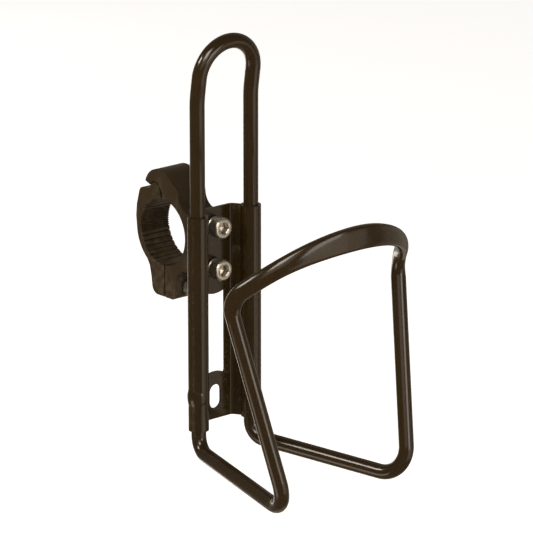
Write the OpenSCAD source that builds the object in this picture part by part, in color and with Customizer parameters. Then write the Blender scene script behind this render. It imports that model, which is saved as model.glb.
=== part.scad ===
// Water bottle cage with a handlebar clamp.
// The origin is the centre of the clamp bore: +X along the bar, -Y towards the bottle, +Z up.
// All lengths are in millimetres.

/* [Part] */
// Sub-part to draw, or all of them

/* [Rod] */
// Diameter of the painted rod
rod_d = 6.0; // [4:0.1:8]
// Distance between the two upright legs
leg_gap = 27.0; // [20:0.5:40]
// Height of the top of the arch above the lower sleeve ends
arch_top = 159.0; // [120:0.1:200]
// Height where the arch starts to lean forward
lean_z = 134.0; // [100:0.5:150]
// Forward lean of the arch
lean_angle = 9; // [0:0.5:20]
// Depth of the leg corner below the lower sleeve ends
leg_drop = 8.6; // [4:0.1:20]
// Bend radius of the leg corners
leg_bend = 6.5; // [5:0.5:15]
// Half width of the cage at the two front corners
front_x = 30.6; // [20:0.1:45]
// Reach of the two front corners in front of the legs
front_y = 73.9; // [50:0.1:90]
// Depth of the front corners below the lower sleeve ends
front_drop = 10.5; // [4:0.1:20]
// Bend radius of the front corners
front_bend = 10.5; // [5:0.5:15]
// Half width of the cage at the two elbows
elbow_x = 42.7; // [30:0.1:50]
// Reach of the elbows in front of the legs
elbow_y = 53.4; // [30:0.1:80]
// Height of the elbows above the lower sleeve ends
elbow_z = 72.2; // [50:0.1:100]
// Bend radius of the elbows
elbow_bend = 9; // [5:0.5:15]
// Reach of the band centre in front of the legs
band_y = 76.4; // [60:0.1:90]
// Height of the band centre above the lower sleeve ends
band_z = 93.5; // [70:0.1:120]
// Width of the flattened band at its centre
band_w = 9.5; // [6:0.1:14]
// Thickness of the flattened band at its centre
band_t = 3.2; // [2:0.1:6]
// Length along the rod, from the band centre, over which the band narrows
band_fade = 42; // [20:1:60]
// Length below each elbow where the rod becomes round again
round_run = 2; // [1:0.5:20]

/* [Back plate] */
// Sheet thickness
plate_t = 1.05; // [0.8:0.05:2]
// Height of the plate and its sleeves
plate_h = 87.4; // [60:0.1:120]
// Rear face of the flat web behind the leg centres
web_y = 6.95; // [5:0.05:10]
// Half width of the flat web before the curl starts
web_x = 7.3; // [5:0.1:10]
// Angle of the curled wall that joins the web to a sleeve
curl_angle = 57; // [30:1:90]
// Bend radius of the curl at mid sheet
curl_r = 2.4; // [1:0.1:3]
// Half width of the window
window_x = 5.0; // [3:0.1:7]
// Lower edge of the window
window_z0 = 19.6; // [10:0.1:40]
// Upper edge of the window
window_z1 = 52.0; // [40:0.1:60]
// Radius of the rounded tabs that close the window above and below
tab_r = 11; // [7:0.5:30]
// Height of the lower mounting slot
slot_z = 9.3; // [5:0.1:15]
// Width of the lower mounting slot
slot_w = 5.7; // [5:0.1:7]
// Overall height of the lower mounting slot
slot_h = 10.0; // [6:0.1:14]

/* [Clamp] */
// Radius of the bar the closed clamp holds
bore_r = 13.6; // [11:0.1:16]
// Length of the clamp along the bar
clamp_w = 14; // [10:0.5:25]
// Outer radius of the strap
strap_r = 16.5; // [15:0.1:20]
// Depth of the grooves in the strap's side of the bore
groove_h = 0.6; // [0.3:0.05:1]
// Width of the grooves where they open into the bore
groove_w = 0.44; // [0.2:0.02:0.6]
// Height of the bore centre above the lower sleeve ends
bore_z = 73.2; // [60:0.1:90]
// Distance of the bore centre behind the leg centres
bore_y = 29.4; // [25:0.1:40]
// Hinge centre, distance behind the bore centre
hinge_y = 4.9; // [3:0.1:8]
// Hinge centre, height above the bore centre
hinge_z = 16.7; // [14:0.1:20]
// Radius of the strap's hinge barrel
barrel_r = 2.8; // [2:0.1:4]
// Running gap between clamp pieces
run_gap = 0.35; // [0.2:0.05:0.6]
// Depth of the lug ends below the bore centre
lug_bottom = 26.6; // [20:0.1:30]
// Depth of the clamp screw axis below the bore centre
screw_z = 22.2; // [18:0.1:25]

/* [Fasteners] */
// Upper mounting bolt height above the lower sleeve ends
bolt_z1 = 79.9; // [60:0.1:90]
// Lower mounting bolt height above the lower sleeve ends
bolt_z0 = 62.7; // [50:0.1:75]
// Head diameter of the mounting bolts
bolt_head_d = 8.5; // [7:0.1:10]
// Head height of the mounting bolts
bolt_head_h = 5; // [3:0.1:6]
// Shank length of the mounting bolts
bolt_len = 10; // [8:1:16]
// Thickness of the lock washers under the mounting bolt heads
washer_t = 0.9; // [0.5:0.1:1.6]
// Diameter of the threaded inserts
insert_d = 6.6; // [6:0.1:8]
// Head diameter of the clamp screw
screw_head_d = 7; // [5:0.1:8]
// Head height of the clamp screw
screw_head_h = 4; // [2:0.1:5]
// Shank length of the clamp screw
screw_len = 14; // [12:1:20]
// Width across flats of the clamp nut
nut_af = 7; // [6:0.1:8]
// Thickness of the clamp nut
nut_t = 3.2; // [2:0.1:4]

/* [Hidden] */
$fn = 96;
groove_flat = 0.12;
paint = [0.12, 0.10, 0.08];
plastic = [0.20, 0.18, 0.15];
steel = [0.75, 0.72, 0.66];
brass = [0.80, 0.65, 0.35];
rod_r = rod_d / 2;
leg_x = leg_gap / 2;
lean_r = 40;
arch_len = (arch_top - rod_r - lean_z) / cos(lean_angle) - leg_x;
butt_gap = 0.3;
butt_z = 13.7;
sweep_n = 24;
elbow_steps = 9;
band_steps = 16;
bend_steps = 9;
lean_steps = 3;
arch_steps = 10;
band_square = 0.42;
// Share of the flattening kept through the elbows: width, thickness, squareness
elbow_wide = 0.22;
elbow_thin = 0.3;
elbow_square = 0.1;
riser_steps = 3;
// Shape of the band between the elbows, as powers of (x / elbow_x)^2
band_shape_y = [0.89, -0.65, 0.76];
band_shape_z = [0.77, -0.30, 0.53];
bottle_y = -38;
curl_steps = 6;
wall_len = 2.95;
sleeve_ir = rod_r + 0.05;
sleeve_or = sleeve_ir + plate_t - 0.02;
mid_y = web_y - plate_t / 2;
window_r = 1.1;
seam_w = 0.35;
seam_a = 152;
bulge_r = 4.3;
bulge_shift = 0.25;
bulge_curve = 11.7;
bulge_half = 3.2;
pad_y = web_y - bore_y;
pad_t = 3.5;
pad_top = 11.9;
pad_bottom = 15.5;
neck_z = 10.8;
neck_r = 6.0;
neck_cy = 15.6;
neck_cz = 16.8;
hook_r = 9.0;
hook_cy = 2.4;
hook_cz = 16.2;
hook_lip = 21;
// Front shoulder of the hook, a smaller circle level with the hook's own
shoulder_r = 4.3;
shoulder_y = -5.3;
// Angle of the straight flank that touches both circles
flank_a = acos((hook_r - shoulder_r) / (hook_cy - shoulder_y));
lug_front = 7.7;
lug_fillet = 5.9;
lug_fillet_z = 19.2;
lug_round = 2.4;
belly_z = 13.3;
split_y = -1.1;
strap_y = split_y + 2 * run_gap;
toe_y = 3.6;
toe_r = 3.5;
boss_x = 5.5;
boss_z = 15.6;
boss_y = 13.8;
insert_r = insert_d / 2;
insert_y0 = -19.2;
insert_y1 = -13.9;
bolt_r = 2.45;
bolt_hole_r = 2.75;
washer_r = 4.1;
washer_bore_r = 2.6;
washer_split = 0.5;
hex4 = 4 / cos(30) / 2;
hex3 = 3 / cos(30) / 2;
screw_r = 2.0;
screw_y = -7.5;
seat_gap = 0.05;
nut_y = 3.6;
nut_bore_r = 2.1;
strap_hole_r = 2.6;

// ---- vectors ----
function unit(v) = v / norm(v);
function lerp(a, b, t) = a + (b - a) * t;
function bezier(a, b, c, d, t) =
    a * pow(1 - t, 3) + 3 * b * t * pow(1 - t, 2) + 3 * c * t * t * (1 - t) + d * pow(t, 3);

// ---- bent rod ----
// Points of a bend of radius r at corner p, from the line p0-p to the line p-p1
function bend_points(p0, p, p1, r, steps) =
    let (u = unit(p - p0),
         v = unit(p1 - p),
         turn = acos(u * v),
         side = unit(v - u * (u * v)),
         start = p - u * r * tan(turn / 2))
    [for (i = [0 : steps])
        start + u * r * sin(turn * i / steps) + side * r * (1 - cos(turn * i / steps))];

// Corner points of the right-hand side, measured from the lower sleeve ends
leg_corner = [leg_x, 0, -leg_drop];
front_corner = [front_x, -front_y, -front_drop];
elbow = [elbow_x, -elbow_y, elbow_z];
lean_corner = [leg_x, 0, lean_z];
lean_dir = [0, -sin(lean_angle), cos(lean_angle)];
arch_corner = lean_corner + lean_dir * (arch_len + leg_x);
arch_centre = [0, arch_corner[1], arch_corner[2]];

// Centre line of the flattened band
function band_u(x) = pow(x / elbow_x, 2);
function band_mix(k, u) = k[0] * u + k[1] * u * u + k[2] * pow(u, 3);
function band_point(x) = [x,
    lerp(-band_y, -elbow_y, band_mix(band_shape_y, band_u(x))),
    lerp(band_z, elbow_z, band_mix(band_shape_z, band_u(x)))];
riser_dir = unit(elbow - front_corner);
elbow_dir = unit(band_point(elbow_x - 6) - elbow);
elbow_turn = acos(riser_dir * elbow_dir);
elbow_tan = elbow_bend * tan(elbow_turn / 2);
elbow_handle = elbow_bend * tan(elbow_turn / 4) * 4 / 3;
elbow_start = elbow - riser_dir * elbow_tan;
band_x0 = elbow_x - elbow_tan * abs(elbow_dir[0]);
band_end = band_point(band_x0);
band_end_dir = unit(band_point(band_x0 - 0.1) - band_end);

// Right half of the centre line, from the middle of the band to the top of the arch
band_part = [for (i = [0 : band_steps - 1]) band_point(band_x0 * i / band_steps)];
elbow_part = [for (i = [0 : elbow_steps])
    bezier(band_end, band_end - band_end_dir * elbow_handle,
           elbow_start + riser_dir * elbow_handle, elbow_start, i / elbow_steps)];
front_part = bend_points(elbow, front_corner, leg_corner, front_bend, bend_steps);
leg_part = bend_points(front_corner, leg_corner, lean_corner, leg_bend, bend_steps);
butt_part = [[leg_x, 0, butt_z - butt_gap / 2], [leg_x, 0, butt_z + butt_gap / 2]];
lean_part = bend_points(leg_corner, lean_corner, arch_corner, lean_r, lean_steps);
arch_part = bend_points(lean_corner, arch_corner, arch_centre, leg_x, arch_steps);
riser_part = [for (i = [1 : riser_steps]) elbow_start - riser_dir * round_run * i / riser_steps];
half_path = concat(band_part, elbow_part, riser_part, front_part, leg_part, butt_part, lean_part, arch_part);
half_n = len(half_path);
// Index of the ring just below the butt joint
butt_i = len(band_part) + len(elbow_part) + len(riser_part) + len(front_part) + len(leg_part);
// Length along the rod from the band centre to each point
runs = [for (i = 0, s = 0;
             i < half_n;
             i = i + 1,
             s = i < half_n ? s + norm(half_path[i] - half_path[i - 1]) : s)
        s];
flat_end = runs[len(band_part) + len(elbow_part) + riser_steps - 1];
flat_hold = flat_end - round_run - elbow_bend / 2;

// Direction of travel at a point; the two ends of the half lie on the mirror plane
function half_dir(i) =
    i == 0 || i == half_n - 1
        ? [i == 0 ? 1 : -1, 0, 0]
        : unit(unit(half_path[i + 1] - half_path[i]) + unit(half_path[i] - half_path[i - 1]));
function outward(p) = unit([p[0], p[1] - bottle_y, 0]);
function carried(w, t) = unit(w - t * (w * t));
function band_side(i) = unit(cross(half_dir(i), outward(half_path[i])));
// Wide side of the section: upright on the band, carried along without twist elsewhere
half_side = [for (i = 0, w = band_side(0);
                  i < half_n;
                  i = i + 1,
                  w = i < band_steps ? band_side(i) : i < half_n ? carried(w, half_dir(i)) : w)
    w];
function ease(t) = pow(cos(90 * min(1, max(0, t))), 2);
// Share of the flattening left at ring i, which is "kept" through the elbow
function fade(i, kept) =
    lerp(kept, 1, ease(runs[i] / band_fade)) * ease((runs[i] - flat_hold) / (flat_end - flat_hold));
function flat_side(c, k) = sign(c) * pow(abs(c), k);
function half_ring(i) =
    let (p = half_path[i],
         w = half_side[i],
         n = cross(half_dir(i), w),
         thin = fade(i, elbow_thin),
         k = lerp(1, band_square, fade(i, elbow_square)),
         a = lerp(rod_r, band_w / 2, fade(i, elbow_wide)),
         b = lerp(rod_r, band_t / 2, thin))
    [for (j = [0 : sweep_n - 1])
        let (q = 360 * (j + 0.5) / sweep_n)
        p + w * a * flat_side(cos(q), k) + n * b * flat_side(sin(q), k)];
function mirrored(ring) = [for (p = ring) [-p[0], p[1], p[2]]];
right_rings = [for (i = [0 : half_n - 1]) half_ring(i)];
// The whole rod, from one butted end to the other
rod_rings = concat(
    [for (i = [butt_i : -1 : 1]) mirrored(right_rings[i])],
    right_rings,
    [for (i = [half_n - 2 : -1 : butt_i + 1]) mirrored(right_rings[i])]);

// One bent rod: arch, legs, arms, risers and the flattened band, with its ends butted in the left sleeve
module cage_rod() {
    rings = len(rod_rings);
    points = [for (r = rod_rings) for (p = r) p];
    walls = [for (i = [0 : rings - 2]) for (j = [0 : sweep_n - 1]) for (h = [0, 1])
        let (a = i * sweep_n + j,
             b = i * sweep_n + (j + 1) % sweep_n,
             c = (i + 1) * sweep_n + (j + 1) % sweep_n,
             d = (i + 1) * sweep_n + j)
        h == 0 ? [a, c, b] : [a, d, c]];
    first = [[for (j = [0 : sweep_n - 1]) j]];
    last = [[for (j = [sweep_n - 1 : -1 : 0]) (rings - 1) * sweep_n + j]];
    color(paint)
        translate([0, -bore_y, -bore_z])
            polyhedron(points = points, faces = concat(walls, first, last));
}

// ---- rolled back plate ----
// Bend and wall at the right-hand edge of the web, at radius r from the bend centre
function curl_line(r) = concat(
    [for (i = [0 : curl_steps])
        let (a = 90 - curl_angle * i / curl_steps)
        [web_x + r * cos(a), mid_y - curl_r + r * sin(a)]],
    [[web_x + r * sin(curl_angle) + wall_len * cos(curl_angle),
      mid_y - curl_r + r * cos(curl_angle) - wall_len * sin(curl_angle)]]);
function reversed(v) = [for (i = [len(v) - 1 : -1 : 0]) v[i]];
function flipped(v) = [for (p = v) [-p[0], p[1]]];

module web_sheet() {
    rear = curl_line(curl_r + plate_t / 2);
    front = curl_line(curl_r - plate_t / 2);
    linear_extrude(height = plate_h)
        polygon(concat(rear, reversed(front), flipped(front), reversed(flipped(rear))));
}

module sleeve() {
    difference() {
        cylinder(h = plate_h, r = sleeve_or);
        // open seam of the rolled sheet
        rotate([0, 0, seam_a])
            translate([0, -seam_w / 2, -1])
                cube([2 * sleeve_or, seam_w, plate_h + 2]);
    }
}

module round_window(hw, z0, z1, r) {
    for (x = [-hw + r, hw - r])
        for (z = [z0 + r, z1 - r])
            translate([x, web_y + 2, z])
                rotate([90, 0, 0])
                    cylinder(h = 5, r = r);
    translate([-hw + r, web_y - 3, z0])
        cube([2 * (hw - r), 5, z1 - z0]);
    translate([-hw, web_y - 3, z0 + r])
        cube([2 * hw, 5, z1 - z0 - 2 * r]);
}

// Window between two tabs with arched ends
module tab_window() {
    arch = tab_r - sqrt(tab_r * tab_r - window_x * window_x);
    difference() {
        round_window(window_x, window_z0 - arch, window_z1 + arch, window_r);
        for (z = [window_z0 - tab_r, window_z1 + tab_r])
            translate([0, web_y + 3, z])
                rotate([90, 0, 0])
                    cylinder(h = 7, r = tab_r);
    }
}

module long_slot() {
    reach = (slot_h - slot_w) / 2;
    for (z = [slot_z - reach, slot_z + reach])
        translate([0, web_y + 2, z])
            rotate([90, 0, 0])
                cylinder(h = 5, r = slot_w / 2);
    translate([-slot_w / 2, web_y - 3, slot_z - reach])
        cube([slot_w, 5, 2 * reach]);
}

module back_plate() {
    color(paint)
        translate([0, -bore_y, -bore_z])
            difference() {
                union() {
                    web_sheet();
                    translate([leg_x, 0, 0])
                        sleeve();
                    mirror([1, 0, 0])
                        translate([leg_x, 0, 0])
                            sleeve();
                    // swell over the butt joint of the rod
                    translate([-leg_x - bulge_shift, 0, butt_z])
                        rotate_extrude()
                            intersection() {
                                translate([bulge_r - bulge_curve, 0])
                                    circle(r = bulge_curve);
                                translate([0, -bulge_half])
                                    square([2 * bulge_r, 2 * bulge_half]);
                            }
                }
                for (s = [-1, 1])
                    translate([s * leg_x, 0, -1])
                        cylinder(h = plate_h + 2, r = sleeve_ir);
                tab_window();
                long_slot();
                for (z = [bolt_z0, bolt_z1])
                    translate([0, web_y + 2, z])
                        rotate([90, 0, 0])
                            cylinder(h = 5, r = bolt_hole_r);
            }
}

// ---- clamp ----
// Turns a profile drawn as (y, z) into a solid centred on x = 0
module along_bar(w) {
    translate([-w / 2, 0, 0])
        rotate([90, 0, 90])
            linear_extrude(height = w)
                children();
}

module base_profile() {
    difference() {
        union() {
            translate([hook_cy, hook_cz])
                circle(r = hook_r);
            translate([shoulder_y, hook_cz])
                circle(r = shoulder_r);
            polygon([[pad_y, -belly_z], [-neck_cy + 2, -belly_z], [-lug_front, -lug_fillet_z],
                     [split_y, -lug_fillet_z], [split_y, 0], [0, bore_r],
                     [hook_cy, hook_cz],
                     [hook_cy - hook_r * cos(flank_a), hook_cz + hook_r * sin(flank_a)],
                     [shoulder_y - shoulder_r * cos(flank_a), hook_cz + shoulder_r * sin(flank_a)],
                     [shoulder_y, hook_cz], [shoulder_y - shoulder_r, hook_cz],
                     [-neck_cy, neck_z], [pad_y, neck_z]]);
            translate([pad_y, -pad_bottom])
                square([pad_t, pad_bottom + pad_top]);
            // lug with a rounded toe
            translate([-lug_front, -lug_bottom + lug_round])
                square([lug_front + split_y, lug_bottom - lug_round - 12]);
            translate([-lug_front + lug_round, -lug_bottom])
                square([lug_front + split_y - lug_round, lug_bottom - 12]);
            translate([-lug_front + lug_round, -lug_bottom + lug_round])
                circle(r = lug_round);
        }
        circle(r = bore_r);
        // hollows above and below the neck
        translate([-neck_cy, neck_cz])
            circle(r = neck_r);
        translate([-lug_front - lug_fillet, -lug_fillet_z])
            circle(r = lug_fillet);
        // hinge socket and room for the strap
        translate([hinge_y, hinge_z])
            circle(r = barrel_r + run_gap);
        polygon([[-0.4, 12.6], [1.0, 17.0], [1.9, 18.2], [hinge_y, hinge_z + 1],
                 [hinge_y, hinge_z],
                 [hinge_y + 12 * cos(hook_lip), hinge_z + 12 * sin(hook_lip)],
                 [24, 0], [0, 0]]);
        translate([split_y, -40])
            square([40, 40]);
    }
}

module clamp_base() {
    color(plastic)
        difference() {
            union() {
                along_bar(clamp_w)
                    base_profile();
                // boss around the lower insert
                translate([-boss_x, pad_y, -boss_z])
                    cube([2 * boss_x, -boss_y - pad_y, boss_z - belly_z + 1]);
            }
            for (z = [bolt_z0 - bore_z, bolt_z1 - bore_z])
                translate([0, 0, z])
                    rotate([90, 0, 0]) {
                        translate([0, 0, 5])
                            cylinder(h = 20, r = bolt_hole_r);
                        translate([0, 0, 5])
                            cylinder(h = -insert_y0 - 5, r = insert_r + 0.03);
                    }
            // hole and spot face for the clamp screw
            translate([0, 0, -screw_z])
                rotate([90, 0, 0]) {
                    cylinder(h = 12, r = screw_r + 0.15);
                    translate([0, 0, -screw_y])
                        cylinder(h = 3, r = screw_head_d / 2 + 0.4);
                }
        }
}

// Groove angles around the bore: wide steps above, fine ones in the middle, wide ones below
groove_angles = concat([for (i = [0 : 3]) 58 - i * 8.5],
                       [for (i = [0 : 10]) 25 - i * 3.6],
                       [for (i = [0 : 6]) -19 - i * 9]);

module grip_grooves() {
    slope = (groove_w - groove_flat) / 2 / groove_h;
    inner = 0.3;
    along_bar(clamp_w + 2)
        for (a = groove_angles)
            rotate([0, 0, a])
                polygon([[bore_r - inner, -groove_w / 2 - slope * inner],
                         [bore_r + groove_h, -groove_flat / 2],
                         [bore_r + groove_h, groove_flat / 2],
                         [bore_r - inner, groove_w / 2 + slope * inner]]);
}

module strap_body() {
    difference() {
        union() {
            along_bar(clamp_w)
                circle(r = strap_r);
            // shoulder under the hook and the tongue that carries the barrel
            along_bar(clamp_w)
                polygon([[1.2, 12], [1.35, 14.6], [2.5, hinge_z - 0.6], [hinge_y, hinge_z + 0.4],
                         [7.2, hinge_z - 0.3], [10.2, 16.2], [13.3, 15.7], [14.1, 15.2], [14.8, 13.9],
                         [16.4, 8.2], [16.9, 3.4], [16.5, -0.5], [10, -2]]);
            along_bar(clamp_w)
                translate([hinge_y, hinge_z])
                    circle(r = barrel_r);
            // lug with a rounded toe
            along_bar(clamp_w)
                polygon([[-2, -11], [-2, -lug_bottom], [toe_y, -lug_bottom],
                         [toe_y, -lug_bottom + toe_r], [toe_y + toe_r, -lug_bottom + toe_r],
                         [7.6, -19.6], [8.5, -15.6], [10.6, -12.2], [8, -9]]);
            along_bar(clamp_w)
                translate([toe_y, -lug_bottom + toe_r])
                    circle(r = toe_r);
        }
        along_bar(clamp_w + 2)
            circle(r = bore_r);
        grip_grooves();
        // split face towards the base
        along_bar(clamp_w + 2)
            polygon([[-30, -30], [strap_y, -30], [strap_y, 10], [1.3, 11], [1.3, 14.2],
                     [2.0, hinge_z - 0.4], [-3, hinge_z + 1], [-30, 30]]);
    }
}

module clamp_strap() {
    color(plastic)
        difference() {
            strap_body();
            translate([0, 0, -screw_z])
                rotate([-90, 0, 0]) {
                    translate([0, 0, -3])
                        cylinder(h = 12, r = strap_hole_r);
                    translate([0, 0, nut_y])
                        rotate([0, 0, 30])
                            cylinder(h = 6, r = (nut_af + 0.3) / cos(30) / 2, $fn = 6);
                }
        }
}

// ---- fasteners ----
// Socket head screw pointing along +z, underside of the head at z = 0
module cap_screw(head_r, head_h, shank_r, len, hex_r, hex_h) {
    bevel = 0.35;
    difference() {
        union() {
            translate([0, 0, -head_h + bevel])
                cylinder(h = head_h - bevel, r = head_r);
            translate([0, 0, -head_h])
                cylinder(h = bevel, r1 = head_r - bevel, r2 = head_r);
            cylinder(h = len - bevel, r = shank_r);
            translate([0, 0, len - bevel])
                cylinder(h = bevel, r1 = shank_r, r2 = shank_r - bevel);
        }
        translate([0, 0, -head_h - 1])
            cylinder(h = hex_h + 1, r = hex_r, $fn = 6);
    }
}

module mounting_bolts() {
    color(steel)
        for (z = [bolt_z0 - bore_z, bolt_z1 - bore_z])
            translate([0, pad_y - plate_t - washer_t, z])
                rotate([-90, 0, 0])
                    cap_screw(bolt_head_d / 2, bolt_head_h, bolt_r, bolt_len, hex4, 2.6);
}

module lock_washers() {
    color(steel)
        for (z = [bolt_z0 - bore_z, bolt_z1 - bore_z])
            translate([0, pad_y - plate_t - washer_t, z])
                rotate([-90, 0, 0])
                    difference() {
                        cylinder(h = washer_t, r = washer_r);
                        translate([0, 0, -1])
                            cylinder(h = washer_t + 2, r = washer_bore_r);
                        // split of the spring ring
                        rotate([0, 0, 65])
                            translate([0, -washer_split / 2, -1])
                                cube([2 * washer_r, washer_split, washer_t + 2]);
                    }
}

module threaded_inserts() {
    color(brass)
        for (z = [bolt_z0 - bore_z, bolt_z1 - bore_z])
            translate([0, insert_y0, z])
                rotate([-90, 0, 0])
                    difference() {
                        union() {
                            cylinder(h = insert_y1 - insert_y0, r = insert_r - 0.25);
                            for (k = [0, 1, 2])
                                translate([0, 0, k * 2.0])
                                    cylinder(h = 1.3, r = insert_r);
                        }
                        translate([0, 0, -1])
                            cylinder(h = 10, r = bolt_r + 0.05);
                    }
}

module clamp_screw() {
    color(steel)
        translate([0, screw_y - seat_gap, -screw_z])
            rotate([-90, 0, 0])
                cap_screw(screw_head_d / 2, screw_head_h, screw_r, screw_len, hex3, 2.2);
}

module clamp_nut() {
    color(steel)
        translate([0, nut_y + seat_gap, -screw_z])
            rotate([-90, 0, 0])
                difference() {
                    rotate([0, 0, 30])
                        cylinder(h = nut_t, r = nut_af / cos(30) / 2, $fn = 6);
                    translate([0, 0, -1])
                        cylinder(h = nut_t + 2, r = nut_bore_r);
                }
}

cage_rod();
back_plate();
clamp_base();
clamp_strap();
mounting_bolts();
lock_washers();
threaded_inserts();
clamp_screw();
clamp_nut();
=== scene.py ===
"""Visual model of a bent-rod bottle cage on a hinged handlebar clamp."""

import math

import bmesh
import bpy
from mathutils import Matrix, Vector


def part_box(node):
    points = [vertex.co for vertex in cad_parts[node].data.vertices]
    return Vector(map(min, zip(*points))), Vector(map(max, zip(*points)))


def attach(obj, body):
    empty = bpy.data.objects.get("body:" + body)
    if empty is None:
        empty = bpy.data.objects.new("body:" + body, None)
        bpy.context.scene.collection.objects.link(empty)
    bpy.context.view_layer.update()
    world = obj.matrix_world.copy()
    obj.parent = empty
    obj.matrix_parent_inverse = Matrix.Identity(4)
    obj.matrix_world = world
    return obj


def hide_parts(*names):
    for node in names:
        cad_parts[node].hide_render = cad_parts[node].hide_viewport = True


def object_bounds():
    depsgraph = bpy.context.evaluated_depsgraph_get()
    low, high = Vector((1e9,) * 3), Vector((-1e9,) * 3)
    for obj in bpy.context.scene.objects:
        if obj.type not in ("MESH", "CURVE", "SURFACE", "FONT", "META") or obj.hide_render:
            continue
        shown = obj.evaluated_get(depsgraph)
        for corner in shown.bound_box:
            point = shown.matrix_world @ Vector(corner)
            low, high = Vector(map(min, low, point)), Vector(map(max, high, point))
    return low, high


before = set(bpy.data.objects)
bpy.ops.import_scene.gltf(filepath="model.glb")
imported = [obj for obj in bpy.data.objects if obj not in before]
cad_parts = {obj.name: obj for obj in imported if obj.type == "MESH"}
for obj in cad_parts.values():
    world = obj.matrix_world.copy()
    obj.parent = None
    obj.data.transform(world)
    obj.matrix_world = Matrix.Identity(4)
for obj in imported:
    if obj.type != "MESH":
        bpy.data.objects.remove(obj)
cad_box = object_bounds()

MM = 0.001
SMOOTH_DEG = 35
# Lower sleeve ends, midway between the legs, seen from the clamp bore's centre (mm)
FOOT = Vector((0.0, -29.4, -73.2))


# ---------------------------------------------------------------- mesh helpers
def new_object(name, bm, smooth_deg=SMOOTH_DEG):
    """Turns a bmesh drawn in millimetres into an object in metres with sharp edges kept."""
    bmesh.ops.scale(bm, vec=(MM, MM, MM), verts=bm.verts)
    bmesh.ops.recalc_face_normals(bm, faces=bm.faces)
    mesh = bpy.data.meshes.new(name)
    bm.to_mesh(mesh)
    bm.free()
    return linked(name, mesh, smooth_deg)


def linked(name, mesh, smooth_deg):
    """Adds a mesh to the scene, shaded smooth except where it turns by more than smooth_deg."""
    mesh.shade_smooth()
    mesh.set_sharp_from_angle(angle=math.radians(smooth_deg))
    obj = bpy.data.objects.new(name, mesh)
    bpy.context.scene.collection.objects.link(obj)
    return obj


def add_loops(bm, loops, closed=True):
    """Skins rings of points that all have the same count, with a face on each end if closed."""
    rows = [[bm.verts.new(p) for p in ring] for ring in loops]
    count = len(rows[0])
    for a, b in zip(rows, rows[1:]):
        for j in range(count):
            k = (j + 1) % count
            bm.faces.new((a[j], a[k], b[k], b[j]))
    if closed:
        bm.faces.new(list(reversed(rows[0])))
        bm.faces.new(rows[-1])


# ---------------------------------------------------------------- bent rod
# All in millimetres, with the lower sleeve ends at z = 0 and the legs at y = 0
ROD_R, CAD_ROD_R = 2.97, 3.0
LEG_X = 13.5
LEG_CORNER = Vector((LEG_X, 0, -8.6))
FRONT_CORNER = Vector((30.6, -73.9, -10.5))
ELBOW = Vector((42.7, -53.4, 72.2))
BAND_Y, BAND_Z = -76.4, 93.5
# Width and thickness of the flattened band, and the exponent that squares its section
BAND_W, BAND_T, BAND_SQUARE = 9.46, 3.18, 0.42
# Length from the band's middle over which it fades, straight run below the elbow, elbow's bend
BAND_FADE, ROUND_RUN, ELBOW_BEND = 42.0, 2.0, 9.0
# Shares of the width, thickness and squareness that are left at the elbow
ELBOW_WIDE, ELBOW_THIN, ELBOW_SQUARE = 0.22, 0.3, 0.1
# The band's way to the elbow in y and z, as terms in the 2nd, 4th and 6th power of x
BAND_SHAPE_Y = (0.89, -0.65, 0.76)
BAND_SHAPE_Z = (0.77, -0.30, 0.53)
BOTTLE_Y = -38.0
# Steps back along the band over which its direction is taken, at the elbow and at its end
LOOK_BACK, LOOK_STEP = 6, 0.1
FRONT_BEND, LEG_BEND = 10.5, 6.5
LEAN_Z, LEAN_DEG, LEAN_R, ARCH_TOP = 134.0, 9.0, 40.0, 159.0
BUTT_Z, BUTT_GAP = 13.7, 0.3
SIDES = 48
BAND_STEPS, ELBOW_STEPS, RUN_STEPS = 44, 18, 4
FRONT_STEPS, LEG_STEPS, LEAN_STEPS, ARCH_STEPS = 24, 20, 8, 28


def lerp(a, b, t):
    return a + (b - a) * t


def bend_points(p0, p, p1, r, steps):
    """Points of a bend of radius r at corner p."""
    u = (p - p0).normalized()
    v = (p1 - p).normalized()
    turn = math.acos(u.dot(v))
    side = (v - u * u.dot(v)).normalized()
    start = p - u * r * math.tan(turn / 2)
    angles = [turn * i / steps for i in range(steps + 1)]
    return [start + u * r * math.sin(a) + side * r * (1 - math.cos(a)) for a in angles]


def band_point(x):
    """Point of the band's centre line at x."""
    u = (x / ELBOW.x) ** 2
    mix_y, mix_z = (k[0] * u + k[1] * u ** 2 + k[2] * u ** 3
                    for k in (BAND_SHAPE_Y, BAND_SHAPE_Z))
    return Vector((x, lerp(BAND_Y, ELBOW.y, mix_y), lerp(BAND_Z, ELBOW.z, mix_z)))


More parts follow.
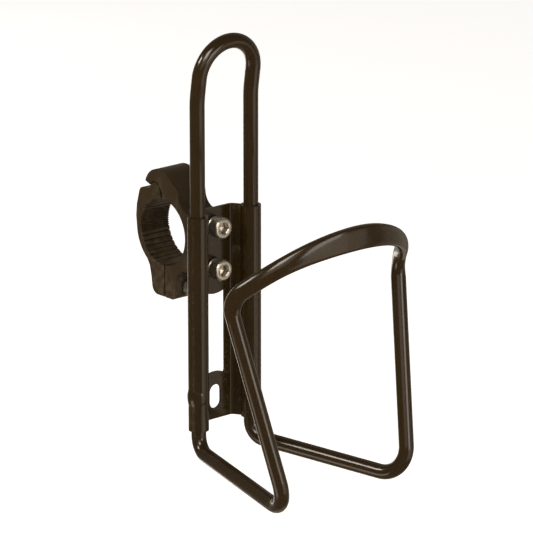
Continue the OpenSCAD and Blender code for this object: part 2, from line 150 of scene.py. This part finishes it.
def rod_half_path():
    """Centre line from the middle of the band to the top of the arch, and the indices of its
    butt joint and of the end of the flattening."""
    riser = (ELBOW - FRONT_CORNER).normalized()
    toward = (band_point(ELBOW.x - LOOK_BACK) - ELBOW).normalized()
    turn = math.acos(riser.dot(toward))
    tangent = ELBOW_BEND * math.tan(turn / 2)
    handle = ELBOW_BEND * math.tan(turn / 4) * 4 / 3
    start = ELBOW - riser * tangent
    x0 = ELBOW.x - tangent * abs(toward.x)
    end = band_point(x0)
    end_dir = (band_point(x0 - LOOK_STEP) - end).normalized()
    lean = math.radians(LEAN_DEG)
    lean_corner = Vector((LEG_X, 0, LEAN_Z))
    arch_len = (ARCH_TOP - CAD_ROD_R - LEAN_Z) / math.cos(lean) - LEG_X
    lean_dir = Vector((0, -math.sin(lean), math.cos(lean)))
    arch_corner = lean_corner + lean_dir * (arch_len + LEG_X)
    arch_centre = Vector((0, arch_corner.y, arch_corner.z))

    a, b, c, d = end, end - end_dir * handle, start + riser * handle, start
    path = [band_point(x0 * i / BAND_STEPS) for i in range(BAND_STEPS)]
    for i in range(ELBOW_STEPS + 1):
        t = i / ELBOW_STEPS
        path.append(a * (1 - t) ** 3 + b * 3 * t * (1 - t) ** 2
                    + c * 3 * t * t * (1 - t) + d * t ** 3)
    path += [start - riser * ROUND_RUN * i / RUN_STEPS for i in range(1, RUN_STEPS + 1)]
    flat_end = len(path) - 1
    path += bend_points(ELBOW, FRONT_CORNER, LEG_CORNER, FRONT_BEND, FRONT_STEPS)
    path += bend_points(FRONT_CORNER, LEG_CORNER, lean_corner, LEG_BEND, LEG_STEPS)
    butt = len(path)
    path += [Vector((LEG_X, 0, BUTT_Z + gap)) for gap in (-BUTT_GAP / 2, BUTT_GAP / 2)]
    path += bend_points(LEG_CORNER, lean_corner, arch_corner, LEAN_R, LEAN_STEPS)
    path += bend_points(lean_corner, arch_corner, arch_centre, LEG_X, ARCH_STEPS)
    return path, butt, flat_end


def ease(t):
    """1 at t = 0, falling smoothly to 0 at t = 1."""
    return math.cos(math.pi / 2 * min(1.0, max(0.0, t))) ** 2


def rod_rings():
    """Sections all the way round the rod, from its butt joint in one leg and back to it."""
    path, butt, flat_end = rod_half_path()
    last = len(path) - 1
    runs = [0.0]
    for a, b in zip(path, path[1:]):
        runs.append(runs[-1] + (b - a).length)
    flat_run = runs[flat_end]
    hold = flat_run - ROUND_RUN - ELBOW_BEND / 2

    def fade(i, kept):
        """Share of the flattening left at ring i, kept through the elbow and gone below it."""
        along_band = lerp(kept, 1, ease(runs[i] / BAND_FADE))
        return along_band * ease((runs[i] - hold) / (flat_run - hold))

    def direction(i):
        if i in (0, last):
            return Vector((1 if i == 0 else -1, 0, 0))
        after, before = path[i + 1] - path[i], path[i] - path[i - 1]
        return (after.normalized() + before.normalized()).normalized()

    rings, side = [], None
    for i, p in enumerate(path):
        d = direction(i)
        if i < BAND_STEPS:
            side = d.cross(Vector((p.x, p.y - BOTTLE_Y, 0)).normalized()).normalized()
        else:
            side = (side - d * side.dot(d)).normalized()
        normal = d.cross(side)
        wide = lerp(ROD_R, BAND_W / 2, fade(i, ELBOW_WIDE))
        thin = lerp(ROD_R, BAND_T / 2, fade(i, ELBOW_THIN))
        k = lerp(1, BAND_SQUARE, fade(i, ELBOW_SQUARE))
        ring = []
        for j in range(SIDES):
            q = 2 * math.pi * j / SIDES
            cx, cy = math.cos(q), math.sin(q)
            ring.append(p + side * wide * math.copysign(abs(cx) ** k, cx)
                        + normal * thin * math.copysign(abs(cy) ** k, cy))
        rings.append(ring)
    flip = [[Vector((-v.x, v.y, v.z)) for v in ring] for ring in rings]
    return flip[butt:0:-1] + rings + flip[last - 1:butt:-1]


def make_rod():
    bm = bmesh.new()
    add_loops(bm, [[p + FOOT for p in ring] for ring in rod_rings()])
    return new_object("painted_rod", bm, 50)


# ---------------------------------------------------------------- pieces that follow their CAD solid
# Distance in metres within which the solid's points are merged
WELD = 2e-6
# Turn up to which faces count as one flat face, and turn from which an edge is rounded
FLAT_DEG, HARD_DEG = 0.6, 28
ROUND_STEPS, ROUNDED_SMOOTH_DEG = 3, 40
# Radius from the bore's axis within which the strap's edges belong to the bore and its grooves
BORE_EDGE_R = 15.0


def softened(node, name, width, wanted=None):
    """A copy of a CAD node with its flat faces merged and its hard edges rounded over."""
    bm = bmesh.new()
    bm.from_mesh(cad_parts[node].data)
    bmesh.ops.remove_doubles(bm, verts=bm.verts, dist=WELD)
    bmesh.ops.dissolve_degenerate(bm, edges=bm.edges, dist=WELD)
    bmesh.ops.dissolve_limit(bm, angle_limit=math.radians(FLAT_DEG), verts=bm.verts,
                             edges=bm.edges, delimit={"NORMAL"})
    limit = math.radians(HARD_DEG)
    edges = [e for e in bm.edges if len(e.link_faces) == 2 and e.calc_face_angle(0) > limit
             and (wanted is None or wanted([v.co / MM for v in e.verts]))]
    bmesh.ops.bevel(bm, geom=edges, offset=width * MM, offset_type="OFFSET",
                    segments=ROUND_STEPS, profile=0.5, affect="EDGES", clamp_overlap=True,
                    loop_slide=True)
    mesh = bpy.data.meshes.new(name)
    bm.to_mesh(mesh)
    bm.free()
    obj = linked(name, mesh, ROUNDED_SMOOTH_DEG)
    weighted = obj.modifiers.new("even_normals", "WEIGHTED_NORMAL")
    weighted.keep_sharp = True
    return obj


def off_the_bore(points):
    """True for an edge of the strap that isn't on its bore or one of the bore's grooves."""
    return all(math.hypot(p.y, p.z) > BORE_EDGE_R for p in points)


# ---------------------------------------------------------------- turned and threaded fasteners
# Outer radii in the CAD model, which place each pair within its node's box
BOLT_R, WASHER_R, INSERT_R = 4.25, 4.1, 3.3
# Sizes of the screws, just inside their CAD solids
BOLT = {"head_r": 4.24, "head_h": 5.0, "shank_r": 2.44, "length": 10.0,
        "key": 4.0, "key_h": 2.6, "pitch": 0.8, "plain": 0}
CLAMP_SCREW = {"head_r": 3.49, "head_h": 4.0, "shank_r": 1.99, "length": 14.0,
               "key": 3.0, "key_h": 2.2, "pitch": 0.7, "plain": 2.5}
# Turn of each bolt and of the screw about its own axis, in radians
BOLT_TURNS, SCREW_TURN = (0.35, 0.12), 0.2
SCREW_SIDES, SCREW_TEETH, RINGS_PER_TURN = 120, 40, 7
# Radius of the rings that close on a screw's axis
TIP_R = 0.02
# Distance in millimetres within which a closed tube's last ring is merged with its first
SEAM = 1e-4


def circle_ring(t, r, count):
    return [(r * math.cos(2 * math.pi * j / count), r * math.sin(2 * math.pi * j / count), t)
            for j in range(count)]


def hex_radius(angle, flat):
    sixth = math.pi / 3
    return flat / math.cos((angle % sixth) - sixth / 2)


def hex_ring(t, flat, count, cap=math.inf):
    """Hexagon that is 2 * flat across its flats, with its corners cut back to radius cap."""
    out = []
    for j in range(count):
        a = 2 * math.pi * j / count
        r = min(hex_radius(a, flat), cap)
        out.append((r * math.cos(a), r * math.sin(a), t))
    return out


def knurl_ring(t, r, depth, teeth, count):
    """Circle of radius r with teeth that are depth high."""
    out = []
    for j in range(count):
        a = 2 * math.pi * j / count
        phase = (j * teeth / count) % 1
        rr = r - depth * min(1, 1.6 * (1 - abs(2 * phase - 1)))
        out.append((rr * math.cos(a), rr * math.sin(a), t))
    return out


def thread_rings(t0, t1, r, pitch, depth, count):
    """Rings of a helical thread, running out smoothly at both ends."""
    steps = int((t1 - t0) / pitch * RINGS_PER_TURN)
    rings = []
    for i in range(steps + 1):
        t = lerp(t0, t1, i / steps)
        grow = min(1, (t - t0) / (0.8 * pitch), (t1 - t) / (0.5 * pitch))
        ring = []
        for j in range(count):
            a = 2 * math.pi * j / count
            phase = (t / pitch - j / count) % 1
            cut = depth * grow * min(1, max(0, 1.25 * (1 - abs(2 * phase - 1)) - 0.12))
            ring.append(((r - cut) * math.cos(a), (r - cut) * math.sin(a), t))
        rings.append(ring)
    return rings


def cap_screw_rings(head_r, head_h, shank_r, length, key, key_h, pitch, plain):
    """Socket head cap screw along +t, with the underside of its head at t = 0. The rings run
    up its socket, over the face and knurled side of its head, and down its thread."""
    top, count, teeth = -head_h, SCREW_SIDES, SCREW_TEETH
    rings = [circle_ring(top + key_h + 0.75, TIP_R, count),
             hex_ring(top + key_h + 0.12, key / 2 * 0.9, count),
             hex_ring(top + key_h, key / 2, count),
             hex_ring(top + 0.30, key / 2, count),
             hex_ring(top + 0.16, key / 2 + 0.10, count, key / 2 * 1.14),
             circle_ring(top, key / 2 * 1.155 + 0.12, count),
             circle_ring(top, head_r - 0.78, count),
             circle_ring(top + 0.05, head_r - 0.55, count),
             circle_ring(top + 0.18, head_r - 0.32, count),
             circle_ring(top + 0.42, head_r - 0.14, count),
             knurl_ring(top + 0.62, head_r - 0.05, 0.04, teeth, count),
             knurl_ring(top + 0.95, head_r, 0.19, teeth, count),
             knurl_ring(-0.75, head_r, 0.19, teeth, count),
             knurl_ring(-0.5, head_r - 0.05, 0.04, teeth, count),
             circle_ring(-0.35, head_r - 0.12, count),
             circle_ring(-0.06, head_r - 0.36, count),
             circle_ring(0, head_r - 0.5, count),
             circle_ring(0, shank_r + 0.12, count),
             circle_ring(0.12, shank_r, count)]
    if plain > 0:
        rings.append(circle_ring(plain, shank_r, count))
    rings += thread_rings(max(plain, 0.12) + 0.05, length - 0.62, shank_r, pitch,
                          0.13 * pitch + 0.2, count)
    rings += [circle_ring(length - 0.5, shank_r - 0.16, count),
              circle_ring(length - 0.08, shank_r - 0.55, count),
              circle_ring(length, shank_r - 0.8, count),
              circle_ring(length, TIP_R, count)]
    return rings


def placed(rings, origin, turn=0.0):
    """Stands rings along +Y at a point in millimetres, turned about their axis."""
    c, s = math.cos(turn), math.sin(turn)
    return [[Vector(origin) + Vector((x * c - y * s, t, -(x * s + y * c))) for x, y, t in ring]
            for ring in rings]


def make_mounting_bolts():
    lo, hi = (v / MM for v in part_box("mounting_bolts"))
    bm = bmesh.new()
    rings = cap_screw_rings(**BOLT)
    for z, turn in zip((lo.z + BOLT_R, hi.z - BOLT_R), BOLT_TURNS):
        add_loops(bm, placed(rings, (0, lo.y + BOLT["head_h"], z), turn))
    return new_object("knurled_mounting_bolts", bm, 32)


def make_washers():
    """Split spring washers with rounded rims, their ends sprung a little apart."""
    lo, hi = (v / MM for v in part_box("lock_washers"))
    radius, bore, thick = 4.08, 2.62, hi.y - lo.y
    inner, outer = 0.16, 0.22  # chamfers of the bore and of the rim
    outline = ((bore, inner), (bore + inner, 0.0), (radius - outer, 0.0), (radius, outer),
               (radius, thick - outer), (radius - outer, thick),
               (bore + inner, thick), (bore, thick - inner))
    bm = bmesh.new()
    steps, split, split_at = 72, math.radians(7), math.radians(-65)
    for z in (lo.z + WASHER_R, hi.z - WASHER_R):
        rings = []
        for i in range(steps + 1):
            a = split_at + split / 2 + (2 * math.pi - split) * i / steps
            rings.append([Vector((r * math.cos(a), lo.y + t, z + r * math.sin(a)))
                          for r, t in outline])
        add_loops(bm, rings)
    return new_object("split_lock_washers", bm, 35)


def make_clamp_screw():
    lo, hi = (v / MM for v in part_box("clamp_screw"))
    bm = bmesh.new()
    head = (0, lo.y + CLAMP_SCREW["head_h"], (lo.z + hi.z) / 2)
    add_loops(bm, placed(cap_screw_rings(**CLAMP_SCREW), head, SCREW_TURN))
    return new_object("knurled_clamp_screw", bm, 32)


def make_inserts():
    """Inserts with three knurled bands and a groove between each two."""
    lo, hi = (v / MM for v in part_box("threaded_inserts"))
    length, r, bore = hi.y - lo.y, 3.29, 2.5
    count, teeth, tooth, lead = 96, 32, 0.14, 0.12
    groove_r, end_r, chamfer = r - 0.28, r - 0.1, 0.25
    bands = ((0.0, 1.3, end_r, groove_r), (2.0, 3.3, groove_r, groove_r),
             (4.0, length, groove_r, end_r))
    rings = [circle_ring(chamfer, bore, count), circle_ring(0, bore + chamfer, count)]
    for a, b, start_r, stop_r in bands:
        rings += [circle_ring(a, start_r, count),
                  knurl_ring(a + lead, r, tooth, teeth, count),
                  knurl_ring(b - lead, r, tooth, teeth, count),
                  circle_ring(b, stop_r, count)]
    rings += [circle_ring(length, bore + chamfer, count),
              circle_ring(length - chamfer, bore, count)]
    bm = bmesh.new()
    for z in (lo.z + INSERT_R, hi.z - INSERT_R):
        loops = placed(rings, (0, lo.y, z))
        add_loops(bm, loops + [loops[0]], closed=False)
    bmesh.ops.remove_doubles(bm, verts=bm.verts, dist=SEAM)
    return new_object("knurled_brass_inserts", bm, 35)


def make_nut():
    """Hexagon nut with both faces chamfered to a circle."""
    lo, hi = (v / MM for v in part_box("clamp_nut"))
    thick, flat, bore, count, steps = hi.y - lo.y, 3.49, 2.12, 96, 5
    face, slope = flat * 0.97, math.tan(math.radians(30))
    lead, lead_h = 0.4, 0.35  # countersink of the bore
    chamfer = (flat / math.cos(math.pi / 6) - face) * slope
    cuts = [chamfer * i / steps for i in range(1, steps + 1)]
    rings = [circle_ring(lead_h, bore, count), circle_ring(0, bore + lead, count),
             circle_ring(0, face, count)]
    rings += [hex_ring(t, flat, count, face + t / slope) for t in cuts]
    rings += [hex_ring(thick - t, flat, count, face + t / slope) for t in reversed(cuts)]
    rings += [circle_ring(thick, face, count), circle_ring(thick, bore + lead, count),
              circle_ring(thick - lead_h, bore, count)]
    loops = placed(rings, (0, lo.y, (lo.z + hi.z) / 2), math.radians(30))
    bm = bmesh.new()
    add_loops(bm, loops + [loops[0]], closed=False)
    bmesh.ops.remove_doubles(bm, verts=bm.verts, dist=SEAM)
    return new_object("chamfered_nut", bm, 30)


# ---------------------------------------------------------------- materials
class Nodes:
    """Small helper that adds and joins nodes of one material."""

    def __init__(self, name):
        self.material = bpy.data.materials.new(name)
        self.material.use_nodes = True
        self.tree = self.material.node_tree
        self.shader = self.tree.nodes["Principled BSDF"]
        self.coords = self.tree.nodes.new("ShaderNodeTexCoord").outputs["Object"]

    def join(self, a, b):
        self.tree.links.new(a, b)

    def noise(self, scale, detail, rough=0.5, stretch=(1, 1, 1)):
        """Noise from 0 to 1, at scale cells to a metre."""
        mapping = self.tree.nodes.new("ShaderNodeMapping")
        mapping.inputs["Scale"].default_value = stretch
        self.join(self.coords, mapping.inputs["Vector"])
        node = self.tree.nodes.new("ShaderNodeTexNoise")
        node.inputs["Scale"].default_value = scale
        node.inputs["Detail"].default_value = detail
        node.inputs["Roughness"].default_value = rough
        self.join(mapping.outputs[0], node.inputs["Vector"])
        return node.outputs["Fac"]

    def ranged(self, value, low, high, to_low, to_high):
        """Value with low to high stretched over to_low to to_high, and held at both ends."""
        node = self.tree.nodes.new("ShaderNodeMapRange")
        self.join(value, node.inputs["Value"])
        for key, number in (("From Min", low), ("From Max", high),
                            ("To Min", to_low), ("To Max", to_high)):
            node.inputs[key].default_value = number
        return node.outputs["Result"]

    def math(self, kind, a, b):
        node = self.tree.nodes.new("ShaderNodeMath")
        node.operation = kind
        for socket, value in zip(node.inputs, (a, b)):
            if isinstance(value, (int, float)):
                socket.default_value = value
            else:
                self.join(value, socket)
        return node.outputs[0]

    def mixed(self, factor, a, b):
        node = self.tree.nodes.new("ShaderNodeMix")
        node.data_type = "RGBA"
        self.join(factor, node.inputs["Factor"])
        for socket, value in ((node.inputs[6], a), (node.inputs[7], b)):
            if isinstance(value, tuple):
                socket.default_value = (*value, 1)
            else:
                self.join(value, socket)
        return node.outputs[2]

    def pointiness(self):
        return self.tree.nodes.new("ShaderNodeNewGeometry").outputs["Pointiness"]

    def edges(self, low, high):
        """1 on worn convex edges, 0 elsewhere."""
        return self.ranged(self.pointiness(), low, high, 0, 1)

    def cavities(self, low, high):
        """1 in concave corners, 0 elsewhere."""
        return self.ranged(self.pointiness(), low, high, 1, 0)

    def bump(self, *layers):
        """Layers of (height, distance in mm)."""
        normal = None
        for height, distance in layers:
            node = self.tree.nodes.new("ShaderNodeBump")
            node.inputs["Strength"].default_value = 1.0
            node.inputs["Distance"].default_value = distance * MM
            self.join(height, node.inputs["Height"])
            if normal is not None:
                self.join(normal, node.inputs["Normal"])
            normal = node.outputs["Normal"]
        self.join(normal, self.shader.inputs["Normal"])

    def set(self, **values):
        """Sets the shader's inputs, or joins them where the value is a socket."""
        for key, value in values.items():
            socket = self.shader.inputs[key.replace("_", " ")]
            if isinstance(value, (int, float, tuple)):
                socket.default_value = value
            else:
                self.join(value, socket)


def gloss_paint(name, peel_mm, dark, light):
    """Deep brown-black stoved enamel with a faint orange peel and a few dull specks."""
    n = Nodes(name)
    cloud = n.noise(70, 3)
    specks = n.ranged(n.noise(2600, 2, 0.7), 0.66, 0.74, 0, 1)
    base = n.mixed(cloud, dark, light)
    base = n.mixed(n.math("MULTIPLY", specks, 0.35), base, (0.060, 0.042, 0.026))
    worn = n.math("MULTIPLY", n.edges(0.54, 0.62),
                  n.ranged(n.noise(500, 3), 0.45, 0.7, 0, 1))
    base = n.mixed(n.math("MULTIPLY", worn, 0.3), base, (0.090, 0.068, 0.045))
    rough = n.ranged(n.noise(190, 4), 0.3, 0.7, 0.15, 0.25)
    n.set(Base_Color=base, Roughness=n.math("ADD", rough, n.math("MULTIPLY", specks, 0.10)),
          IOR=1.5, Coat_Weight=0.2, Coat_Roughness=0.06, Coat_IOR=1.5)
    n.bump((n.noise(620, 2), peel_mm), (n.noise(2300, 2), peel_mm * 0.16))
    return n.material


def moulded_plastic(name):
    """Semi-gloss black moulding with flow clouds and a fine spark-eroded grain."""
    n = Nodes(name)
    flow = n.noise(55, 4, 0.6, (1, 2.2, 1))
    grain = n.noise(4200, 3, 0.6)
    base = n.mixed(flow, (0.0250, 0.0150, 0.0042), (0.0360, 0.0218, 0.0072))
    worn = n.math("MULTIPLY", n.edges(0.53, 0.60),
                  n.ranged(n.noise(420, 4), 0.4, 0.7, 0, 1))
    base = n.mixed(n.math("MULTIPLY", worn, 0.5), base, (0.095, 0.072, 0.048))
    rough = n.ranged(n.noise(260, 4), 0.3, 0.7, 0.27, 0.40)
    n.set(Base_Color=base, Roughness=n.math("ADD", rough, n.math("MULTIPLY", worn, 0.12)),
          IOR=1.5)
    n.bump((n.noise(210, 3), 0.05), (grain, 0.010))
    return n.material


def plated_steel(name):
    """Bright zinc plate, a little warm and cloudy, with fine machining marks and painted shade
    darkening its concave corners.
    """
    n = Nodes(name)
    cloud = n.noise(380, 4)
    stain = n.ranged(n.noise(900, 5, 0.65), 0.50, 0.72, 0, 1)
    base = n.mixed(cloud, (0.62, 0.57, 0.49), (0.76, 0.71, 0.63))
    base = n.mixed(n.math("MULTIPLY", stain, 0.35), base, (0.42, 0.36, 0.28))
    # Painted shade: the socket, thread roots and other concave corners are darkened towards dark
    # brown.
    base = n.mixed(n.math("MULTIPLY", n.cavities(0.42, 0.49), 0.85), base, (0.10, 0.065, 0.035))
    rough = n.ranged(n.noise(1100, 4), 0.3, 0.7, 0.22, 0.36)
    n.set(Base_Color=base, Metallic=0.95, Roughness=rough)
    n.bump((n.noise(3200, 3, 0.6, (1, 0.2, 1)), 0.012))
    return n.material


def turned_brass(name):
    """Brass with soft colour clouds and fine turning marks."""
    n = Nodes(name)
    base = n.mixed(n.noise(700, 4), (0.56, 0.40, 0.16), (0.78, 0.60, 0.28))
    n.set(Base_Color=base, Metallic=1.0,
          Roughness=n.ranged(n.noise(1400, 3), 0.3, 0.7, 0.24, 0.42))
    n.bump((n.noise(3600, 3, 0.6, (1, 4, 1)), 0.010))
    return n.material


def pale_floor(name):
    """Near-white matt floor that glows a little, so that it stays pale in the background."""
    n = Nodes(name)
    base = n.mixed(n.noise(9, 4), (0.93, 0.925, 0.92), (0.96, 0.957, 0.953))
    n.set(Base_Color=base, Roughness=n.ranged(n.noise(22, 3), 0.3, 0.7, 0.7, 0.85))
    n.bump((n.noise(160, 4), 0.03))
    n.set(Emission_Color=(1.0, 1.0, 1.0, 1.0), Emission_Strength=0.75)
    return n.material


# ---------------------------------------------------------------- pieces
def finish_piece(obj, material, body, node):
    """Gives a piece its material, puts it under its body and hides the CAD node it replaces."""
    obj.data.materials.clear()
    obj.data.materials.append(material)
    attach(obj, body)
    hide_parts(node)


rod_paint = gloss_paint("rod_gloss_paint", 0.010,
                        (0.0190, 0.0102, 0.0020), (0.0260, 0.0140, 0.0034))
plate_paint = gloss_paint("plate_gloss_paint", 0.014,
                          (0.0170, 0.0093, 0.0014), (0.0232, 0.0127, 0.0024))
plastic = moulded_plastic("moulded_clamp_plastic")
steel = plated_steel("zinc_plated_steel")
brass = turned_brass("turned_brass")

finish_piece(make_rod(), rod_paint, "cage", "cage_rod")
finish_piece(softened("back_plate", "rolled_back_plate", 0.22), plate_paint,
             "cage", "back_plate")
finish_piece(softened("clamp_base", "moulded_clamp_base", 0.45), plastic,
             "cage", "clamp_base")
finish_piece(softened("clamp_strap", "moulded_clamp_strap", 0.40, off_the_bore), plastic,
             "strap", "clamp_strap")
finish_piece(make_mounting_bolts(), steel, "cage", "mounting_bolts")
finish_piece(make_washers(), steel, "cage", "lock_washers")
finish_piece(make_inserts(), brass, "cage", "threaded_inserts")
finish_piece(make_clamp_screw(), steel, "screw", "clamp_screw")
finish_piece(make_nut(), steel, "strap", "clamp_nut")


# ---------------------------------------------------------------- studio
# The camera's angle, and the directions from the object to it, to its right and to its top
AZIMUTH, ELEVATION = math.radians(-40.531), math.radians(17.208)
BACK = Vector((math.sin(AZIMUTH) * math.cos(ELEVATION),
               -math.cos(AZIMUTH) * math.cos(ELEVATION), math.sin(ELEVATION)))
RIGHT = Vector((math.cos(AZIMUTH), math.sin(AZIMUTH), 0))
UP = BACK.cross(RIGHT)
TARGET = Vector((0, -0.0594, -0.0132))
# The object sits a little right of and below the middle of the picture
CAMERA_PLACE = TARGET + BACK * 1.5 + RIGHT * -0.00307 + UP * 0.01108
LENS, SENSOR = 262.55, 36.0
NEAR, FAR = 0.05, 30.0
FLOOR_R, FLOOR_DROP, FLOOR_SIDES = 2500, 60, 96
WARM, SOFT = (1.0, 0.86, 0.70), (1.0, 0.94, 0.85)
# Name, direction from the object, distance, width and height in metres, power in watts, colour
LIGHTS = (
    ("key_softbox", (-0.58, -0.46, 0.67), 1.1, 0.50, 0.50, 6.0, SOFT),
    ("camera_fill", (-0.62, -0.72, 0.31), 1.2, 0.9, 0.5, 1.2, WARM),
    ("front_glow", (0.12, -0.99, 0.10), 1.1, 0.50, 0.42, 2.2, SOFT),
    ("table_glow", (0.235, -0.93, -0.33), 1.08, 0.60, 0.6, 1.0, WARM),
    ("front_right_glow", (0.62, -0.73, -0.27), 1.1, 0.36, 0.6, 0.36, WARM),
    ("right_glow", (0.953, -0.083, -0.292), 1.15, 0.7, 0.9, 0.35, WARM),
    ("left_strip", (-0.742, 0.389, 0.546), 1.1, 0.36, 0.26, 3.6, SOFT),
    ("low_left_glow", (-0.80, 0.30, -0.64), 1.0, 0.5, 0.40, 1.1, WARM),
    ("back_glow", (0.26, 0.95, -0.26), 1.05, 0.30, 0.8, 1.6, SOFT),
    ("under_glow", (0.5, 0.45, -1.0), 0.9, 0.7, 0.7, 0.4, WARM),
)


def aimed(obj, place, at):
    """Stands a camera or light at a place, looking at a point."""
    obj.location = place
    obj.rotation_euler = (Vector(at) - Vector(place)).to_track_quat("-Z", "Y").to_euler()


def make_camera():
    data = bpy.data.cameras.new("camera")
    data.lens, data.sensor_width = LENS, SENSOR
    data.clip_start, data.clip_end = NEAR, FAR
    camera = bpy.data.objects.new("camera", data)
    bpy.context.scene.collection.objects.link(camera)
    aimed(camera, CAMERA_PLACE, CAMERA_PLACE - BACK)
    bpy.context.scene.camera = camera


def make_light(name, direction, distance, width, height, power, colour):
    data = bpy.data.lights.new(name, "AREA")
    data.shape = "RECTANGLE"
    data.size, data.size_y = width, height
    data.energy, data.color = power, colour
    light = bpy.data.objects.new(name, data)
    bpy.context.scene.collection.objects.link(light)
    aimed(light, TARGET + Vector(direction).normalized() * distance, TARGET)
    light.visible_camera = False


def make_world():
    """White for the camera; for the object, a bright room behind it and a dim one in front."""
    world = bpy.data.worlds.new("studio")
    bpy.context.scene.world = world
    world.use_nodes = True
    nodes, links = world.node_tree.nodes, world.node_tree.links
    nodes.clear()
    out = nodes.new("ShaderNodeOutputWorld")
    ray = nodes.new("ShaderNodeLightPath")
    coords = nodes.new("ShaderNodeTexCoord")
    away = nodes.new("ShaderNodeVectorMath")
    away.operation = "DOT_PRODUCT"
    away.inputs[1].default_value = (-BACK.x, -BACK.y, 0.0)
    ramp = nodes.new("ShaderNodeMapRange")
    ramp.interpolation_type = "SMOOTHSTEP"
    for key, value in (("From Min", 0.2), ("From Max", 0.9),
                       ("To Min", 0.10), ("To Max", 0.22)):
        ramp.inputs[key].default_value = value
    room, white = nodes.new("ShaderNodeBackground"), nodes.new("ShaderNodeBackground")
    white.inputs["Color"].default_value = (1, 1, 1, 1)
    white.inputs["Strength"].default_value = 1.05
    room.inputs["Color"].default_value = (1.0, 0.90, 0.76, 1)
    mix = nodes.new("ShaderNodeMixShader")
    links.new(coords.outputs["Generated"], away.inputs[0])
    links.new(away.outputs["Value"], ramp.inputs["Value"])
    links.new(ramp.outputs["Result"], room.inputs["Strength"])
    links.new(ray.outputs["Is Camera Ray"], mix.inputs[0])
    links.new(room.outputs[0], mix.inputs[1])
    links.new(white.outputs[0], mix.inputs[2])
    links.new(mix.outputs[0], out.inputs["Surface"])


def make_floor():
    low = min(cad_box[0][2], cad_box[1][2])
    bm = bmesh.new()
    bmesh.ops.create_circle(bm, cap_ends=True, segments=FLOOR_SIDES, radius=FLOOR_R)
    bmesh.ops.translate(bm, verts=bm.verts, vec=(0, 0, low / MM - FLOOR_DROP))
    floor = new_object("pale_floor", bm)
    floor.data.materials.append(pale_floor("pale_floor_paint"))
    floor.visible_glossy = False
    floor.visible_shadow = False
    return floor


bpy.context.scene.view_settings.view_transform = "Standard"
make_camera()
make_world()
make_floor()
for light in LIGHTS:
    make_light(*light)
